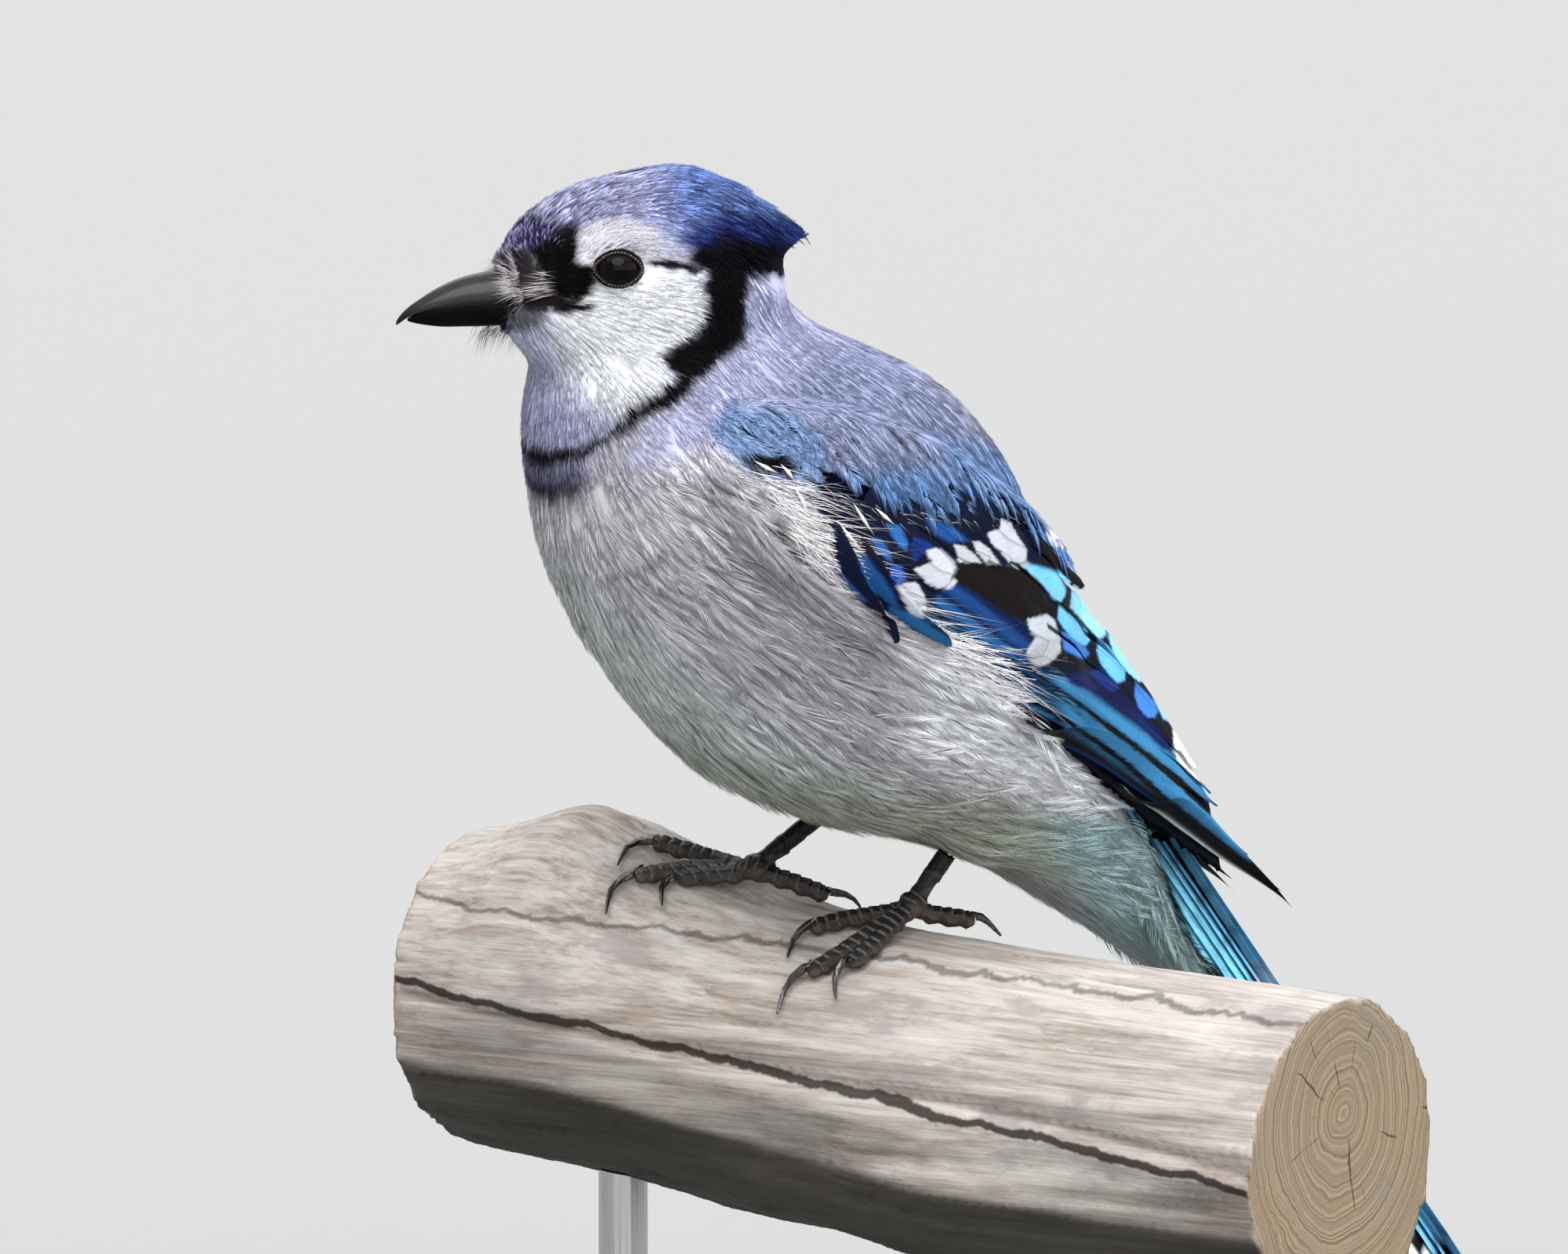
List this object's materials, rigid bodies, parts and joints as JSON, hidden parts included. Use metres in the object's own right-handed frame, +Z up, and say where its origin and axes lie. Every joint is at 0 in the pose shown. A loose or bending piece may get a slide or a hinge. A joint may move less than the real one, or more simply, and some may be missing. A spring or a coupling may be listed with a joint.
{
  "type": "blue jay on a perch",
  "caption": "Life-size blue jay with a raised crest, standing on a short cut length of weathered driftwood on a plain display stand.",
  "frame": {"origin": "centre of the underside of the stand's flat base, on the floor", "axes": "+Z up, the body heads along -Y with the head turned a little to its right, the bird's left side is +X"},
  "size_m": [0.1707, 0.1877, 0.2235],
  "materials": {
    "head_feathers": "soft white and lavender feathers with a black collar and eye line",
    "crest_feathers": "silky blue and violet feathers",
    "back_feathers": "soft violet grey-blue feathers",
    "body_feathers": "loose downy grey-white feathers",
    "wing_feathers": "blue barred with black and tipped with white, faint sheen",
    "tail_feathers": "bright blue barred with black, white at the tips",
    "bill_horn": "satin slate-black horn",
    "eye": "wet dark brown",
    "leg_scales": "dark scaled skin",
    "claw": "glossy black-brown horn",
    "driftwood": "weathered grey-tan driftwood with dark cracks",
    "stand_paint": "plain pale satin paint",
    "stand_steel": "brushed"
  },
  "bodies": {
    "root": {"head": "head_feathers", "crest": "crest_feathers", "bill_upper": "bill_horn", "bill_lower": "bill_horn", "eye_left": "eye", "eye_right": "eye", "neck": "head_feathers", "mantle": "back_feathers", "breast": "body_feathers", "belly": "body_feathers", "under_tail": "body_feathers", "thigh_left": "body_feathers", "thigh_right": "body_feathers", "wing_left_coverts": "wing_feathers", "wing_left_secondaries": "wing_feathers", "wing_left_primaries": "wing_feathers", "wing_right_coverts": "wing_feathers", "wing_right_secondaries": "wing_feathers", "wing_right_primaries": "wing_feathers", "tail": "tail_feathers", "shank_left": "leg_scales", "shank_right": "leg_scales", "toes_left": "leg_scales", "toes_right": "leg_scales", "claw_left_inner": "claw", "claw_left_middle": "claw", "claw_left_outer": "claw", "claw_left_rear": "claw", "claw_right_inner": "claw", "claw_right_middle": "claw", "claw_right_outer": "claw", "claw_right_rear": "claw", "perch": "driftwood", "stand_base": "stand_paint", "stand_rod_1": "stand_steel", "stand_rod_2": "stand_steel"}
  },
  "joints": []
}
